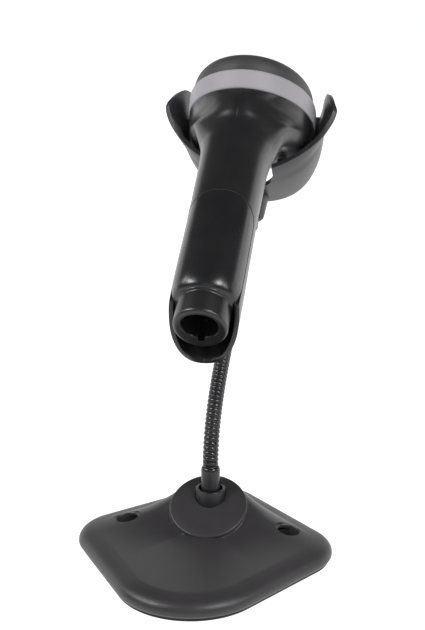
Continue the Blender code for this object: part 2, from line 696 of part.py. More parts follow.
def build_trigger(handle):
    """A finger lever on a pin, with its return spring and the switch it presses."""
    pivot = Vector((0.0, TRIGGER_PIVOT.y, TRIGGER_PIVOT.x))
    hinge = bpy.data.objects.new("trigger_pivot", None)
    hinge.location = pivot
    hinge.parent = handle
    parts.objects.link(hinge)

    face = [(14.5, 124.2), (17.6, 122.0), (20.4, 116.0), (22.6, 109.0), (23.4, 102.0),
            (22.6, 96.0), (20.2, 91.6), (17.4, 89.8), (14.8, 91.0), (14.8, 98.0), (14.6, 106.0),
            (12.4, 112.5)]
    lug = arc((8.5, 121.0), 4.0, -120.0, -290.0, 6)
    outline = [((y - 8.5) * MM, (z - 121.0) * MM) for y, z in face + lug]
    lever = prism("trigger", outline, -TRIGGER_HALF_WIDTH, TRIGGER_HALF_WIDTH, "X",
                  (BLACK_PLASTIC, 0.4, 0.0), hinge)
    pin_hole = cylinder("trigger_pin_hole", (-20 * MM, 0, 0), (20 * MM, 0, 0), 1.5 * MM + GAP,
                        parent=hinge, sides=16)
    spring_room = box("spring_room", (-2.4 * MM, -9 * MM, -4.6 * MM), (2.4 * MM, 4.2 * MM, 9 * MM),
                      parent=hinge)
    cut(lever, pin_hole, spring_room)
    cylinder("trigger_pin", pivot - X_AXIS * 10.6 * MM, pivot + X_AXIS * 10.6 * MM, 1.5 * MM,
             (STEEL, 0.25, 1.0), handle, sides=16)

    turns, per_turn, wire = 3, 12, 0.3 * MM
    coil_radius = 2.4 * MM
    coil = []
    for k in range(turns * per_turn + 1):
        angle = FULL_TURN * k / per_turn
        x = (-1.3 + 2.6 * k / (turns * per_turn)) * MM
        coil.append(Vector((x, coil_radius * math.cos(angle), -coil_radius * math.sin(angle))))
    lead_in = [Vector((-1.3 * MM, coil_radius, 5.2 * MM))]
    lead_out = [Vector((1.3 * MM, coil_radius, -4.2 * MM))]
    tube("trigger_spring", lead_in + coil + lead_out, wire, (STEEL, 0.25, 1.0), hinge,
         resolution=1)

    switch = box("trigger_switch", (-3.0 * MM, 3.2 * MM, 95.0 * MM), (3.0 * MM, 9.6 * MM,
                                                                     101.0 * MM),
                 (CHIP_BLACK, 0.4, 0.0), handle)
    cut(switch, cylinder("plunger_bore", (0, 4.2 * MM, 98 * MM), (0, 14 * MM, 98 * MM), 1.7 * MM,
                         parent=handle, sides=16))
    cylinder("switch_plunger", (0, 6.6 * MM, 98 * MM), (0, 14.4 * MM, 98 * MM), 1.3 * MM,
             (LED_WHITE, 0.4, 0.0), handle, sides=16)
    box("handle_board", (-7.0 * MM, 1.2 * MM, 38.0 * MM), (7.0 * MM, 2.8 * MM, 112.0 * MM),
        (CIRCUIT_GREEN, 0.4, 0.0), handle)


def build_electronics(scanner):
    """The boards, the scan engine behind the window, and the beeper."""
    box("main_board", (-21 * MM, -20 * MM, 0.6 * MM), (21 * MM, 28 * MM, 2.2 * MM),
        (CIRCUIT_GREEN, 0.4, 0.0), scanner)
    box("processor_chip", (3 * MM, 0 * MM, 2.5 * MM), (14 * MM, 11 * MM, 3.9 * MM),
        (CHIP_BLACK, 0.35, 0.0), scanner)
    cylinder("beeper", (-11 * MM, -8 * MM, 2.5 * MM), (-11 * MM, -8 * MM, 7.5 * MM), 6.0 * MM,
             (CHIP_BLACK, 0.5, 0.0), scanner)
    box("engine_bracket", (-13 * MM, 13 * MM, -5.6 * MM), (13 * MM, 29 * MM, 0.3 * MM),
        (STEEL, 0.4, 1.0), scanner)
    box("scan_engine", (-11 * MM, 13 * MM, -18.6 * MM), (11 * MM, 31 * MM, -5.9 * MM),
        (CHIP_BLACK, 0.4, 0.0), scanner, bevel=0.5 * MM)
    cylinder("engine_lens", (-4 * MM, 31.3 * MM, -12.5 * MM), (-4 * MM, 34.6 * MM, -12.5 * MM),
             4.2 * MM, (LENS_GLASS, 0.05, 0.0), scanner)
    cylinder("aimer_lens", (5.6 * MM, 31.3 * MM, -12.5 * MM), (5.6 * MM, 33.6 * MM, -12.5 * MM),
             2.4 * MM, (LENS_GLASS, 0.05, 0.0), scanner)
    for side, x in (("left", -16.0 * MM), ("right", 16.0 * MM)):
        cylinder(f"led_{side}", (x, 30.0 * MM, -12.5 * MM), (x, 33.0 * MM, -12.5 * MM), 2.5 * MM,
                 (LED_WHITE, 0.1, 0.0), scanner, sides=16)


# ---------------------------------------------------------------- cup

# Cup sections: distance from the head's centre, ear reach, squareness, lip x, lip height
CUP_SECTIONS = [(4.0, 47.8, 1.65, 46.8, 3.0), (9.0, 44.4, 1.9, 45.0, 9.0),
                (15.0, 41.4, 2.15, 43.2, 14.0), (22.0, 40.0, 2.4, 41.8, 17.0),
                (32.0, 38.8, 2.5, 39.8, 18.5), (42.0, 37.2, 2.5, 38.0, 17.0),
                (48.5, 35.4, 2.5, 36.2, 15.0)]


def cup_profile(y, reach, power, lip_x, lip_z):
    """Half of the cup's open section: lip, ear, then round to the floor's middle line."""
    half = [(lip_x * MM, lip_z * MM), ((lip_x + 2 * reach) / 3 * MM, 0.52 * lip_z * MM)]
    steps = 10
    for k in range(steps + 1):
        angle = 0.5 * HALF_TURN * k / steps
        half.append((reach * MM * math.cos(angle) ** (2.0 / power),
                     CUP_FLOOR * math.sin(angle) ** (2.0 / power)))
    half[-1] = (0.0, CUP_FLOOR)
    points = half + [(-x, z) for x, z in reversed(half[:-1])]
    return [Vector((x, y * MM, z)) for x, z in points]


def build_cup(scanner):
    """An open-ended trough round the scanner's nose, with two ears and a slot for the neck."""
    rows = [cup_profile(*section) for section in CUP_SECTIONS]
    cup = loft("stand_cup", rows, (MATTE_PLASTIC, 0.5, 0.0), scanner, closed=False)
    solidify(cup, CUP_WALL, -1.0)

    front = [(p.x * 0.965, p.z * 0.965) for p in rows[-1]]
    flange_rings = [[Vector((x, y, z)) for x, z in front] for y in (46.1 * MM, 48.3 * MM)]
    front_wall = loft("cup_front_wall", flange_rings, parent=scanner)
    cut(front_wall, box("cup_window", (-24.2 * MM, 40 * MM, -31.8 * MM),
                        (24.2 * MM, 60 * MM, 20 * MM), parent=scanner))
    slot_end = arc((0.0, SLOT_END_Y - SLOT_HALF_WIDTH), SLOT_HALF_WIDTH, 0.0, 180.0, 12)
    slot = prism("cup_slot", slot_end + [(-SLOT_HALF_WIDTH, -20 * MM),
                                         (SLOT_HALF_WIDTH, -20 * MM)],
                 -60 * MM, -20 * MM, "Z", parent=scanner)
    cut(cup, slot)
    join(cup, front_wall)

    _, _, _, neck_end, along_world = neck_curve()
    to_scanner = Matrix.Rotation(-HEAD_TILT, 3, "X")
    along = to_scanner @ along_world
    base = to_scanner @ (neck_end - HEAD_CENTRE)
    boss = cylinder("cup_boss", base + along * 9.0 * MM, base + along * 25.0 * MM, 8.0 * MM,
                    parent=scanner, end_radius=9.6 * MM)
    join(cup, boss)
    cut(cup, cylinder("ferrule_socket", base - along * 5 * MM, base + along * 15.8 * MM,
                      5.4 * MM + GAP, parent=scanner))
    for side, sign in (("left", -1.0), ("right", 1.0)):
        low_x, high_x = sorted((sign * 16.0 * MM, sign * 20.5 * MM))
        box(f"cup_pad_{side}", (low_x, 13 * MM, -29.4 * MM), (high_x, 38 * MM, -25.0 * MM),
            (RUBBER, 0.8, 0.0), scanner, bevel=0.6 * MM)


# ---------------------------------------------------------------- assembly

def build():
    build_base()
    build_neck_seat()
    build_gooseneck()
    scanner = frame_empty("scanner_frame", HEAD_CENTRE, HEAD_TILT)
    handle = frame_empty("handle_frame", HANDLE_END, HANDLE_ANGLE - 0.5 * HALF_TURN, scanner)
    build_body(scanner, handle)
    build_head(scanner)
    build_window(scanner)
    build_socket(handle)
    build_trigger(handle)
    build_electronics(scanner)
    build_cup(scanner)


build()
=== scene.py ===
"""Looks of the barcode scanner on its gooseneck stand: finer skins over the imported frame."""

import math

import bmesh
import bpy
from mathutils import Matrix, Vector


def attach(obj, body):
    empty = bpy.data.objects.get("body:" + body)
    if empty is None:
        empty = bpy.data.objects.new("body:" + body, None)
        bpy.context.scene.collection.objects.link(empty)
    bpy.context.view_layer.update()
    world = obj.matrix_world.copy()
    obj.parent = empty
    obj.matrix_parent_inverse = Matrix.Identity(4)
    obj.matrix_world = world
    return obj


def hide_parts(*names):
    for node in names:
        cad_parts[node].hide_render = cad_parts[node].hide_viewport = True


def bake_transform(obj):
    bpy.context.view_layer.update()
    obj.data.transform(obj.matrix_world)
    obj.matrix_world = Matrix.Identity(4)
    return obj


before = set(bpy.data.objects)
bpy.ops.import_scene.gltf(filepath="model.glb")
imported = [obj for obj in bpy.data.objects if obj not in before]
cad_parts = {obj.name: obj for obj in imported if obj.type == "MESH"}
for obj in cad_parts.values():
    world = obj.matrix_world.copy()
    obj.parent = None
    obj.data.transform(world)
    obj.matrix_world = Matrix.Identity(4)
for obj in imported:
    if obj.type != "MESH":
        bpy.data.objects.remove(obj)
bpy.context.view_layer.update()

MM = 0.001
TURN = 2.0 * math.pi
X_AXIS = Vector((1.0, 0.0, 0.0))
Z_AXIS = Vector((0.0, 0.0, 1.0))

HEAD_CENTRE = Vector((0.0, 137.0, 200.5)) * MM
HEAD_TILT = math.radians(-33.0)
HANDLE_ANGLE = math.radians(64.0)
HANDLE_END = Vector((0.0, -80.0, -146.9)) * MM
SCANNER = Matrix.Translation(HEAD_CENTRE) @ Matrix.Rotation(HEAD_TILT, 4, "X")
HANDLE = (SCANNER @ Matrix.Translation(HANDLE_END)
          @ Matrix.Rotation(HANDLE_ANGLE - 0.25 * TURN, 4, "X"))
WORLD = Matrix.Identity(4)
SHELL_WALL = 2.2 * MM
NECK_FOOT = Vector((0.0, 15.6, 0.0)) * MM


# ---------------------------------------------------------------- materials

def new_material(name):
    made = bpy.data.materials.new(name)
    made.use_nodes = True
    tree = made.node_tree
    shader = tree.nodes["Principled BSDF"]
    where = tree.nodes.new("ShaderNodeTexCoord").outputs["Object"]
    return made, tree, shader, where


def noise(tree, where, scale, detail=2.0, rough=0.5, stretch=None):
    """A noise texture; stretch squeezes it along the axes for brushed or flow marks."""
    if stretch is not None:
        mapping = tree.nodes.new("ShaderNodeMapping")
        mapping.inputs["Scale"].default_value = stretch
        tree.links.new(where, mapping.inputs["Vector"])
        where = mapping.outputs["Vector"]
    made = tree.nodes.new("ShaderNodeTexNoise")
    made.inputs["Scale"].default_value = scale
    made.inputs["Detail"].default_value = detail
    made.inputs["Roughness"].default_value = rough
    tree.links.new(where, made.inputs["Vector"])
    return made.outputs["Fac"]


def remap(tree, value, low, high, to_low, to_high):
    made = tree.nodes.new("ShaderNodeMapRange")
    made.inputs["From Min"].default_value = low
    made.inputs["From Max"].default_value = high
    made.inputs["To Min"].default_value = to_low
    made.inputs["To Max"].default_value = to_high
    tree.links.new(value, made.inputs["Value"])
    return made.outputs["Result"]


def mixed(tree, factor, first, second):
    made = tree.nodes.new("ShaderNodeMix")
    made.data_type = "RGBA"
    made.inputs["A"].default_value = (*first, 1.0)
    made.inputs["B"].default_value = (*second, 1.0)
    tree.links.new(factor, made.inputs["Factor"])
    return made.outputs["Result"]


def bump(tree, shader, height, strength, distance):
    made = tree.nodes.new("ShaderNodeBump")
    made.inputs["Strength"].default_value = strength
    made.inputs["Distance"].default_value = distance
    tree.links.new(height, made.inputs["Height"])
    tree.links.new(made.outputs["Normal"], shader.inputs["Normal"])


def moulded(name, colour, worn, roughness, grain, strength, metallic=0.0, specular=0.5,
            stretch=None, sheen=0.0):
    """Moulded plastic, rubber or coated metal: grain, faint handling marks, uneven gloss."""
    made, tree, shader, where = new_material(name)
    marks = noise(tree, where, 38.0, 4.0, 0.62)
    fine = noise(tree, where, grain, 2.0, 0.5, stretch)
    tree.links.new(mixed(tree, remap(tree, marks, 0.35, 0.75, 0.0, 1.0), colour, worn),
                   shader.inputs["Base Color"])
    tree.links.new(remap(tree, marks, 0.3, 0.7, roughness - 0.035, roughness + 0.035),
                   shader.inputs["Roughness"])
    shader.inputs["Metallic"].default_value = metallic
    shader.inputs["Specular IOR Level"].default_value = specular
    shader.inputs["Sheen Weight"].default_value = sheen
    shader.inputs["Sheen Roughness"].default_value = 0.4
    bump(tree, shader, fine, strength, 0.00012)
    return made


def clear(name, colour, roughness, transmission, ior=1.5):
    """Tinted glass or clear plastic with faint wipe marks."""
    made, tree, shader, where = new_material(name)
    smear = noise(tree, where, 60.0, 3.0, 0.6, (1.0, 0.25, 1.0))
    tree.links.new(mixed(tree, smear, colour, tuple(0.85 * c for c in colour)),
                   shader.inputs["Base Color"])
    tree.links.new(remap(tree, smear, 0.3, 0.7, roughness, roughness + 0.05),
                   shader.inputs["Roughness"])
    shader.inputs["Transmission Weight"].default_value = transmission
    shader.inputs["IOR"].default_value = ior
    return made


def circuit(name):
    """Green solder mask with darker traces."""
    made, tree, shader, where = new_material(name)
    cells = tree.nodes.new("ShaderNodeTexBrick")
    cells.inputs["Scale"].default_value = 420.0
    cells.inputs["Mortar Size"].default_value = 0.03
    cells.inputs["Color1"].default_value = (0.012, 0.10, 0.045, 1.0)
    cells.inputs["Color2"].default_value = (0.014, 0.12, 0.05, 1.0)
    cells.inputs["Mortar"].default_value = (0.03, 0.20, 0.09, 1.0)
    tree.links.new(where, cells.inputs["Vector"])
    tree.links.new(cells.outputs["Color"], shader.inputs["Base Color"])
    tree.links.new(remap(tree, noise(tree, where, 90.0), 0.3, 0.7, 0.3, 0.4),
                   shader.inputs["Roughness"])
    bump(tree, shader, cells.outputs["Fac"], 0.15, 0.00005)
    return made


STAND = moulded("stand_plastic", (0.025, 0.023, 0.025), (0.031, 0.029, 0.031), 0.42, 1500.0, 0.45)
CUP = moulded("cup_plastic", (0.020, 0.020, 0.023), (0.026, 0.026, 0.029), 0.42, 1700.0, 0.28)
SATIN = moulded("body_plastic", (0.0085, 0.0085, 0.0095), (0.011, 0.011, 0.012), 0.30, 2100.0,
                0.10)
GRIP = moulded("grip_plastic", (0.0075, 0.0075, 0.0085), (0.010, 0.010, 0.011), 0.27, 2100.0,
               0.08)
COVER = moulded("cover_plastic", (0.030, 0.030, 0.032), (0.036, 0.036, 0.038), 0.55, 1300.0,
                0.45)
BAND = moulded("band_rubber", (0.265, 0.256, 0.276), (0.280, 0.271, 0.291), 0.58, 1500.0, 0.12,
               sheen=0.15)
RUBBER = moulded("black_rubber", (0.014, 0.014, 0.015), (0.022, 0.022, 0.023), 0.78, 900.0, 0.5,
                 sheen=0.25)
BLACK_METAL = moulded("black_metal", (0.016, 0.016, 0.018), (0.022, 0.022, 0.024), 0.26, 1800.0,
                      0.10, metallic=0.15)
STEEL = moulded("brushed_steel", (0.48, 0.48, 0.49), (0.42, 0.42, 0.43), 0.34, 500.0, 0.25,
                metallic=1.0, stretch=(1.0, 12.0, 1.0))
BRASS = moulded("contact_brass", (0.74, 0.58, 0.28), (0.66, 0.50, 0.24), 0.25, 700.0, 0.1,
                metallic=1.0)
GLOSS = moulded("black_gloss", (0.010, 0.010, 0.011), (0.013, 0.013, 0.014), 0.16, 1200.0, 0.05)
WHITE = moulded("white_plastic", (0.80, 0.80, 0.76), (0.76, 0.76, 0.72), 0.30, 1200.0, 0.1)
PANE = clear("dark_window", (0.30, 0.016, 0.02), 0.04, 0.85)
LENS = clear("lens_glass", (0.55, 0.62, 0.72), 0.02, 0.9, 1.6)
DIFFUSER = clear("light_diffuser", (0.85, 0.87, 0.84), 0.22, 0.55)
BOARD = circuit("circuit_board")


# ---------------------------------------------------------------- mesh helpers

def add_object(name, mesh, finish, matrix=WORLD):
    mesh.transform(matrix)
    made = bpy.data.objects.new(name, mesh)
    bpy.context.scene.collection.objects.link(made)
    if finish is not None:
        mesh.materials.append(finish)
    return made


def from_bmesh(name, bm, finish, matrix=WORLD):
    bmesh.ops.recalc_face_normals(bm, faces=bm.faces)
    mesh = bpy.data.meshes.new(name)
    bm.to_mesh(mesh)
    bm.free()
    return add_object(name, mesh, finish, matrix)


def loft(name, rings, finish=None, matrix=WORLD, caps=(True, True), closed=True, wrap=False):
    """A skin over rings of equally many points.

    caps close the first and last ring, closed joins each ring's ends, and wrap joins the last
    ring to the first.
    """
    bm = bmesh.new()
    rows = [[bm.verts.new(point) for point in ring] for ring in rings]
    count = len(rows[0])
    last = count if closed else count - 1
    pairs = list(zip(rows, rows[1:])) + ([(rows[-1], rows[0])] if wrap else [])
    for lower, upper in pairs:
        for k in range(last):
            after = (k + 1) % count
            bm.faces.new((lower[k], lower[after], upper[after], upper[k]))
    if closed and not wrap:
        if caps[0]:
            bm.faces.new(list(reversed(rows[0])))
        if caps[1]:
            bm.faces.new(rows[-1])
    return from_bmesh(name, bm, finish, matrix)


def prism(name, outline, low, high, axis="Z", finish=None, matrix=WORLD):
    """An outline pushed along X (points in y, z) or along Z (points in x, y)."""
    def place(point, height):
        if axis == "X":
            return Vector((height, point[0], point[1]))
        return Vector((point[0], point[1], height))
    return loft(name, [[place(p, low) for p in outline], [place(p, high) for p in outline]],
                finish, matrix)


def block(name, low, high, finish=None, matrix=WORLD, bevel=0.0, segments=3):
    low, high = Vector(low) * MM, Vector(high) * MM
    bm = bmesh.new()
    place = Matrix.Translation((low + high) / 2) @ Matrix.Diagonal((*(high - low), 1.0))
    bmesh.ops.create_cube(bm, size=1.0, matrix=place)
    if bevel:
        bmesh.ops.bevel(bm, geom=bm.edges[:], offset=bevel * MM, segments=segments, profile=0.5,
                        affect="EDGES")
    return from_bmesh(name, bm, finish, matrix)


def turned(name, profile, finish=None, matrix=WORLD, sides=72):
    """A closed (radius, height) profile in mm turned about Z; radius 0 closes on the axis."""
    rings = []
    for radius, height in profile:
        if radius > 0.0:
            rings.append([Vector((radius * math.cos(TURN * k / sides),
                                  radius * math.sin(TURN * k / sides), height)) * MM
                          for k in range(sides)])
    on_axis = profile[0][0] == 0.0
    return loft(name, rings, finish, matrix, wrap=not on_axis)


def aligned(start, direction):
    turn = Z_AXIS.rotation_difference(direction).to_matrix().to_4x4()
    return Matrix.Translation(start) @ turn


def settle(made):
    """Writes the modifiers into the mesh."""
    graph = bpy.context.evaluated_depsgraph_get()
    mesh = bpy.data.meshes.new_from_object(made.evaluated_get(graph))
    made.modifiers.clear()
    made.data = mesh


def face_outwards(made, inside):
    """Turns an open skin's faces away from a point on its inner side."""
    total = sum((face.center - inside).dot(face.normal) * face.area
                for face in made.data.polygons)
    if total < 0.0:
        made.data.flip_normals()


def solidify(made, thickness):
    """Gives a skin its wall, on the inner side."""
    wall = made.modifiers.new("wall", "SOLIDIFY")
    wall.thickness = thickness
    wall.offset = -1.0
    wall.use_even_offset = True
    settle(made)


def soften(made, width, angle=40.0, segments=3):
    """Rounds the edges sharper than an angle."""
    edge = made.modifiers.new("soft_edges", "BEVEL")
    edge.width = width * MM
    edge.segments = segments
    edge.limit_method = "ANGLE"
    edge.angle_limit = math.radians(angle)
    settle(made)


def combine(made, tool, operation="DIFFERENCE", keep=False):
    """Cuts the tool away, or joins it, and removes the tool unless it is kept."""
    change = made.modifiers.new("change", "BOOLEAN")
    change.operation = operation
    change.object = tool
    change.solver = "EXACT"
    settle(made)
    if not keep:
        bpy.data.objects.remove(tool, do_unlink=True)


def smooth(made, angle=32.0):
    made.data.shade_smooth()
    made.data.set_sharp_from_angle(angle=math.radians(angle))


def finish_piece(made, body, *nodes, angle=32.0):
    """Shades a finished piece, fixes it to a body and lets it stand for the frame's nodes."""
    smooth(made, angle)
    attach(made, body)
    if nodes:
        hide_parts(*nodes)


def crossing(low, high, below, rounds=28):
    """Halves a span round the place where below(value) turns false; gives both its ends."""
    for _ in range(rounds):
        middle = 0.5 * (low + high)
        low, high = (middle, high) if below(middle) else (low, middle)
    return low, high


def signed_power(value, exponent):
    return math.copysign(abs(value) ** exponent, value)


def spline(rows, t):
    """Values between rows of numbers, on a smooth curve through them."""
    last = len(rows) - 1
    k = min(int(t), last - 1)
    s = t - k
    a, b, c, d = (rows[min(max(j, 0), last)] for j in (k - 1, k, k + 1, k + 2))
    if k == 0:
        a = tuple(2 * p - q for p, q in zip(b, c))
    if k == last - 1:
        d = tuple(2 * q - p for p, q in zip(b, c))
    return tuple(0.5 * (2 * q + (r - p) * s + (2 * p - 5 * q + 4 * r - w) * s * s
                        + (3 * q - p - 3 * r + w) * s ** 3) for p, q, r, w in zip(a, b, c, d))


def arc(centre, radius, start, end, steps):
    angles = [math.radians(start + (end - start) * k / steps) for k in range(steps + 1)]
    return [(centre[0] + radius * math.cos(a), centre[1] + radius * math.sin(a)) for a in angles]


# ---------------------------------------------------------------- stand base

# Corners of the base: centre and radius, all in mm
BASE_CORNERS = [(39.5, -2.0, 24.0), (0.0, 36.0, 24.0), (-39.5, -2.0, 24.0), (0.0, -35.5, 38.0)]
# The rim's section: inset from the outline and height
BASE_RIM = [(0.8, 1.8), (0.1, 3.0), (0.0, 4.2), (0.5, 5.9), (1.7, 7.4), (3.7, 8.6), (6.4, 9.4),
            (9.5, 10.0)]
FACET_CENTRE = Vector((0.0, 9.2, 19.8)) * MM
FACET_TILT = math.radians(28.0)
FACET_RADIUS = 19.3
FACET_STEP = 2.0
# The facet's rounded edge: radius and drop below the facet
FACET_EDGE = ((19.45, 1.6), (19.4, 0.6), (19.3, 0.3), (19.1, 0.1), (18.8, 0.0))
HILL_ROWS = 30
HILL_HOLLOW = 1.05
COVER_WALL = 2.4 * MM
DESK_HOLE = (39.3, 5.5)
DESK_HOLE_LEAN = math.radians(9.0)
PAD_INSET = 1.6
PAD_THICKNESS = 1.2 * MM


def base_outline(inset, corner_steps=26, side_steps=22):
    """A kite with round corners, anticlockwise: arcs joined by their common tangents."""
    count = len(BASE_CORNERS)
    normals = []
    for k, (x, y, radius) in enumerate(BASE_CORNERS):
        after = BASE_CORNERS[(k + 1) % count]
        run = Vector((after[0] - x, after[1] - y))
        normals.append(math.atan2(run.y, run.x) - math.acos((radius - after[2]) / run.length))
    arcs = []
    for k, (x, y, radius) in enumerate(BASE_CORNERS):
        start = normals[k - 1]
        sweep = (normals[k] - start) % TURN
        arcs.append([Vector((x + (radius - inset) * math.cos(start + sweep * j / corner_steps),
                             y + (radius - inset) * math.sin(start + sweep * j / corner_steps)))
                     for j in range(corner_steps + 1)])
    points = []
    for k, bend in enumerate(arcs):
        points += bend
        points += [bend[-1].lerp(arcs[(k + 1) % count][0], j / side_steps)
                   for j in range(1, side_steps)]
    return [point * MM for point in points]


def facet_point(direction, radius, drop=0.0):
    """A point of the tilted facet, or below it, at a radius and in a direction seen from above."""
    across = Vector((direction.x, direction.y / math.cos(FACET_TILT))).normalized() * radius * MM
    return FACET_CENTRE + Vector((across.x, across.y * math.cos(FACET_TILT),
                                  across.y * math.sin(FACET_TILT) - drop * MM))


def build_base():
    rings = []
    for k in range(5 * len(BASE_RIM) - 4):
        inset, height = spline(BASE_RIM, k / 5.0)
        rings.append([Vector((p.x, p.y, height * MM)) for p in base_outline(max(inset, 0.0))])
    shoulder = rings[-1]
    ways = [p.xy - FACET_CENTRE.xy for p in shoulder]
    feet = [facet_point(way, FACET_RADIUS + 0.5, FACET_STEP) for way in ways]
    for foot in feet:
        foot.z = max(foot.z, shoulder[0].z)
    for j in range(1, HILL_ROWS + 1):
        share = j / HILL_ROWS
        rings.append([Vector((*a.xy.lerp(b.xy, share), a.z + (b.z - a.z) * share ** HILL_HOLLOW))
                      for a, b in zip(shoulder, feet)])
    for radius, drop in FACET_EDGE:
        ring = [facet_point(way, radius, drop) for way in ways]
        for point, foot in zip(ring, feet):
            point.z = max(point.z, foot.z)
        rings.append(ring)
    for radius in (14.0, 10.0):
        rings.append([facet_point(way, radius) for way in ways])
    cover = loft("base_shell", rings, STAND, caps=(False, True))
    solidify(cover, COVER_WALL)
    for side in (-1.0, 1.0):
        place = Matrix.Translation((side * DESK_HOLE[0] * MM, DESK_HOLE[1] * MM, 0.0))
        combine(cover, turned("post", [(0, 3), (7.2, 3), (7.2, 9), (0, 9)], matrix=place), "UNION")
        mouth = place @ Matrix.Rotation(side * DESK_HOLE_LEAN, 4, "Y")
        combine(cover, turned("recess", [(0, 5.5), (5.4, 5.5), (5.4, 10.9), (5.6, 11.3), (6.0, 11.7),
                                         (6.6, 12.0), (6.6, 30), (0, 30)], matrix=mouth))
        combine(cover, turned("bore", [(0, -1), (2.6, -1), (2.6, 9), (0, 9)], matrix=place))
    combine(cover, turned("collar_hole", [(0, 10), (7.9, 10), (7.9, 50), (0, 50)],
                          matrix=Matrix.Translation(NECK_FOOT)))
    finish_piece(cover, "base", "base_cover")
    pad = prism("foot_pad", base_outline(PAD_INSET), 0.0, PAD_THICKNESS, "Z", RUBBER)
    soften(pad, 0.35, 60.0, 2)
    finish_piece(pad, "base", "base_pad")


# ---------------------------------------------------------------- gooseneck

NECK_SLOPE = math.radians(43.0)
NECK_ALONG = Vector((0.0, math.cos(NECK_SLOPE), math.sin(NECK_SLOPE)))
NECK_TOP = SCANNER @ (Vector((0.0, 40.0, -38.0)) * MM) - NECK_ALONG * 22.0 * MM
NECK_START = Vector((0.0, 15.6, 38.5)) * MM
NECK_RISE = 45.0 * MM
NECK_RUN_OUT = 50.0 * MM
NECK_CORE = 3.28
COIL_HEIGHT = 0.74
NECK_LINKS = 9
COILS = 66.0
LINK_ROWS = 60
NECK_SIDES = 30


def neck_marks(count):
    """Evenly spaced (point, direction) pairs along the gooseneck's middle line."""
    rise = NECK_START + Z_AXIS * NECK_RISE
    run_out = NECK_TOP - NECK_ALONG * NECK_RUN_OUT
    fine = 2000
    marks = []
    for k in range(fine + 1):
        t = k / fine
        u = 1.0 - t
        marks.append(u ** 3 * NECK_START + 3 * u * u * t * rise + 3 * u * t * t * run_out
                     + t ** 3 * NECK_TOP)
    lengths = [0.0]
    for before, after in zip(marks, marks[1:]):
        lengths.append(lengths[-1] + (after - before).length)
    found = []
    k = 0
    for j in range(count + 1):
        target = lengths[-1] * j / count
        while k < fine - 1 and lengths[k + 1] < target:
            k += 1
        share = (target - lengths[k]) / (lengths[k + 1] - lengths[k])
        found.append((marks[k].lerp(marks[k + 1], share), (marks[k + 1] - marks[k]).normalized()))
    return found


def coil_radius(place, angle):
    """Half-round windings with a narrow groove between them."""
    phase = (place * COILS - angle / TURN) % 1.0
    crown = max(0.0, 1.0 - abs(2.0 * phase - 1.0) ** 2.4) ** 0.55
    return (NECK_CORE + COIL_HEIGHT * crown) * MM


def build_gooseneck():
    """Sleeves of windings, each from the middle of one link to the middle of the next; the foot and
    the tip are fixed to the base and the cup.
    """
    total = NECK_LINKS * LINK_ROWS
    marks = neck_marks(total)
    rings = []
    for j, (point, along) in enumerate(marks):
        side = X_AXIS.cross(along).normalized()
        ring = []
        for k in range(NECK_SIDES):
            angle = TURN * k / NECK_SIDES
            out = X_AXIS * math.cos(angle) + side * math.sin(angle)
            ring.append(point + out * coil_radius(j / total, angle))
        rings.append(ring)
    half = LINK_ROWS // 2
    foot = loft("neck_tube_foot", rings[:half + 1], BLACK_METAL, caps=(False, False))
    finish_piece(foot, "base", "neck_link_1", angle=80.0)
    for k in range(1, NECK_LINKS):
        low, high = k * LINK_ROWS - half, k * LINK_ROWS + half
        sleeve = loft(f"neck_tube_{k}", rings[low:high + 1], BLACK_METAL, caps=(False, False))
        smooth(sleeve, 80.0)
        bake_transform(sleeve)
        if k > 1:
            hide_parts(f"neck_link_{k}")
    tip = loft("neck_tube_tip", rings[total - half:], BLACK_METAL, caps=(False, False))
    finish_piece(tip, "cup", "neck_link_9", angle=80.0)

    seat = Matrix.Translation(NECK_FOOT)
    collar = turned("collar_ring", [(6.3, 26.6), (7.1, 26.6), (7.35, 26.53), (7.53, 26.35),
                                    (7.6, 26.1), (7.6, 15.5), (5.1, 15.5), (5.1, 23.1),
                                    (6.0, 23.1), (6.0, 26.2), (6.08, 26.45)], BLACK_METAL, seat)
    finish_piece(collar, "base", "neck_collar")
    lower = turned("lower_sleeve", [(0, 10.0), (4.8, 10.0), (4.8, 36.4), (4.74, 36.9), (4.55, 37.5),
                                    (4.3, 37.95), (3.95, 38.2), (0, 38.2)], BLACK_METAL, seat)
    finish_piece(lower, "base", "lower_ferrule")
    upper = turned("upper_sleeve", [(0, 0.3), (4.3, 0.3), (4.7, 0.45), (5.1, 0.8), (5.33, 1.3),
                                    (5.4, 2.0), (5.4, 5.4), (5.15, 5.6), (5.15, 6.2), (5.4, 6.4),
                                    (5.4, 14.9), (5.2, 15.4), (4.8, 15.5), (0, 15.5)],
                   BLACK_METAL, aligned(NECK_TOP, NECK_ALONG))
    finish_piece(upper, "cup", "upper_ferrule")


# ---------------------------------------------------------------- scanner body

# Handle: height along the handle, half width, reach to the back and to the front
HANDLE_SECTIONS = [(-10.0, 16.2, 15.4, 22.6), (4.0, 16.8, 16.4, 21.0), (22.0, 17.2, 17.0, 18.6),
                   (48.0, 17.1, 17.0, 17.0), (76.0, 17.1, 17.0, 16.8), (104.0, 17.5, 17.2, 16.8),
                   (111.0, 17.9, 17.3, 17.0), (117.0, 18.6, 17.4, 17.2), (122.0, 19.6, 17.5, 17.5)]
WAIST_HALF_WIDTH = 17.3
# Head: rear y, z, front y, z, half width, in the scanner's frame
HEAD_SECTIONS = [(-40.6, -24.4, -5.4, -32.0, 23.2), (-40.3, -20.0, 6.0, -25.6, 26.4),
                 (-39.6, -16.2, 22.0, -24.0, 29.2), (-38.5, -13.0, 34.0, -23.0, 31.2),
                 (-37.2, -10.4, 40.6, -19.6, 32.6), (-35.8, -8.0, 42.4, -13.0, 33.6),
                 (-34.3, -5.8, 43.0, -5.8, 34.2)]
